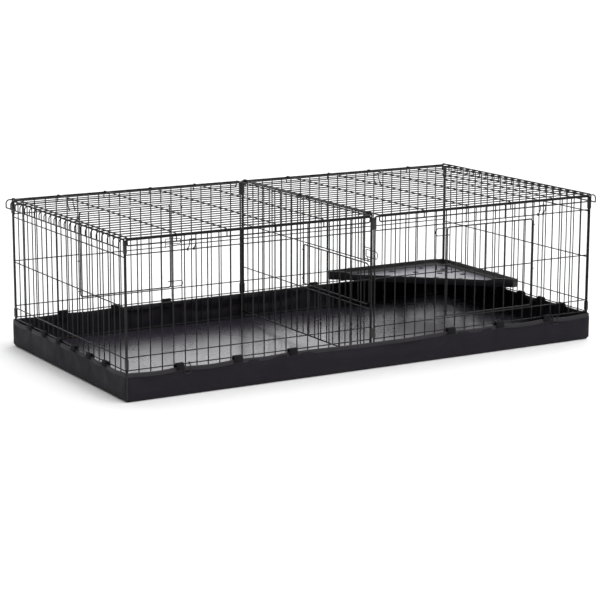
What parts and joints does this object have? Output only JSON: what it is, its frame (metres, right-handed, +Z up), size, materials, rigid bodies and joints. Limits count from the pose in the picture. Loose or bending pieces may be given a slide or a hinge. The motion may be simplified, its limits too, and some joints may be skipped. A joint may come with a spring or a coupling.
{
  "type": "rabbit cage",
  "caption": "low two-room wire rabbit cage on an open fabric tray, with hinged wire lids, wire doors in the front, back and divider, and a triangular corner shelf",
  "frame": {"origin": "the middle of the fabric tray's underside, on the ground under the divider", "axes": "+X along the cage towards the room with the corner shelf, +Y from the front towards the back, +Z up"},
  "size_m": [1.2128, 0.6213, 0.3447],
  "materials": {
    "coated_wire": "semi-gloss black powder coat",
    "sleeve_plastic": "matte black",
    "tray_fabric": "black coated cloth, faint sheen",
    "strap_tape": "black woven tape",
    "shelf_plastic": "satin black moulded plastic"
  },
  "bodies": {
    "cage": {"back_left_panel": "coated_wire", "back_right_panel": "coated_wire", "divider_panel": "coated_wire", "front_left_panel": "coated_wire", "front_right_panel": "coated_wire", "left_end_panel": "coated_wire", "right_end_panel": "coated_wire", "fabric_tray": "tray_fabric", "corner_sleeve_bottom_back_left": "sleeve_plastic", "corner_sleeve_bottom_back_right": "sleeve_plastic", "corner_sleeve_bottom_front_left": "sleeve_plastic", "corner_sleeve_bottom_front_right": "sleeve_plastic", "corner_sleeve_top_back_left": "sleeve_plastic", "corner_sleeve_top_back_right": "sleeve_plastic", "corner_sleeve_top_front_left": "sleeve_plastic", "corner_sleeve_top_front_right": "sleeve_plastic", "middle_sleeve_bottom_back": "sleeve_plastic", "middle_sleeve_bottom_front": "sleeve_plastic", "middle_sleeve_top_back": "sleeve_plastic", "middle_sleeve_top_front": "sleeve_plastic", "strap_back_1": "strap_tape", "strap_back_2": "strap_tape", "strap_back_3": "strap_tape", "strap_back_4": "strap_tape", "strap_back_5": "strap_tape", "strap_back_6": "strap_tape", "strap_front_1": "strap_tape", "strap_front_2": "strap_tape", "strap_front_3": "strap_tape", "strap_front_4": "strap_tape", "strap_front_5": "strap_tape", "strap_front_6": "strap_tape", "strap_left_1": "strap_tape", "strap_left_2": "strap_tape", "strap_left_3": "strap_tape", "strap_left_4": "strap_tape", "strap_left_5": "strap_tape", "strap_left_6": "strap_tape", "strap_right_1": "strap_tape", "strap_right_2": "strap_tape", "strap_right_3": "strap_tape", "strap_right_4": "strap_tape", "strap_right_5": "strap_tape", "strap_right_6": "strap_tape"},
    "left_lid": {"lid_left": "coated_wire"},
    "right_lid": {"lid_right": "coated_wire"},
    "front_door": {"door_front_right": "coated_wire"},
    "back_door": {"door_back_left": "coated_wire"},
    "divider_door": {"door_divider": "coated_wire"},
    "front_bolt": {"door_bolt_front_right": "coated_wire"},
    "back_bolt": {"door_bolt_back_left": "coated_wire"},
    "divider_latch": {"divider_latch": "coated_wire"},
    "shelf": {"corner_shelf": "shelf_plastic"},
    "latch_back_left": {"lid_latch_back_left": "coated_wire"},
    "latch_back_right": {"lid_latch_back_right": "coated_wire"},
    "latch_front_left": {"lid_latch_front_left": "coated_wire"},
    "latch_front_right": {"lid_latch_front_right": "coated_wire"},
    "tray_latch_body_front_left": {"tray_latch_front_left": "coated_wire"},
    "tray_latch_body_front_right": {"tray_latch_front_right": "coated_wire"}
  },
  "joints": [
    {"name": "lid_left_hinge", "type": "hinge", "parent": "cage", "child": "left_lid", "pos_m": [0, 0, 0.3396], "axis": [0, 1, 0], "range_deg": [0, 80]},
    {"name": "lid_right_hinge", "type": "hinge", "parent": "cage", "child": "right_lid", "pos_m": [0, 0, 0.3396], "axis": [0, -1, 0], "range_deg": [0, 80]},
    {"name": "front_door_hinge", "type": "hinge", "parent": "cage", "child": "front_door", "pos_m": [0.43018, -0.2956, 0.1966], "axis": [0, 0, 1], "range_deg": [0, 110]},
    {"name": "back_door_hinge", "type": "hinge", "parent": "cage", "child": "back_door", "pos_m": [-0.43018, 0.2956, 0.1966], "axis": [0, 0, 1], "range_deg": [0, 110]},
    {"name": "divider_door_hinge", "type": "hinge", "parent": "cage", "child": "divider_door", "pos_m": [-0.0014, 0, 0.1845], "axis": [0, 0, 1], "range_deg": [-90, 90]},
    {"name": "front_bolt_slide", "type": "slide", "parent": "front_door", "child": "front_bolt", "axis": [1, 0, 0], "range_m": [-0.008, 0.006]},
    {"name": "back_bolt_slide", "type": "slide", "parent": "back_door", "child": "back_bolt", "axis": [-1, 0, 0], "range_m": [-0.008, 0.006]},
    {"name": "divider_latch_slide", "type": "slide", "parent": "cage", "child": "divider_latch", "axis": [0, 1, 0], "range_m": [0, 0.019]},
    {"name": "shelf_lift", "type": "slide", "parent": "cage", "child": "shelf", "axis": [0, 0, 1], "range_m": [0, 0.06]},
    {"name": "lid_latch_front_left_hinge", "type": "hinge", "parent": "cage", "child": "latch_front_left", "pos_m": [-0.4435, -0.2981, 0.305], "axis": [1, 0, 0], "range_deg": [-10, 150]},
    {"name": "lid_latch_front_right_hinge", "type": "hinge", "parent": "cage", "child": "latch_front_right", "pos_m": [0.447, -0.2981, 0.305], "axis": [1, 0, 0], "range_deg": [-10, 150]},
    {"name": "lid_latch_back_left_hinge", "type": "hinge", "parent": "cage", "child": "latch_back_left", "pos_m": [-0.4435, 0.2981, 0.305], "axis": [-1, 0, 0], "range_deg": [-10, 150]},
    {"name": "lid_latch_back_right_hinge", "type": "hinge", "parent": "cage", "child": "latch_back_right", "pos_m": [0.39023, 0.2981, 0.305], "axis": [-1, 0, 0], "range_deg": [-10, 150]},
    {"name": "tray_latch_front_left_hinge", "type": "hinge", "parent": "cage", "child": "tray_latch_body_front_left", "pos_m": [-0.4565, -0.2981, 0.066], "axis": [-1, 0, 0], "range_deg": [0, 120]},
    {"name": "tray_latch_front_right_hinge", "type": "hinge", "parent": "cage", "child": "tray_latch_body_front_right", "pos_m": [0.4932, -0.2981, 0.066], "axis": [-1, 0, 0], "range_deg": [0, 120]}
  ]
}
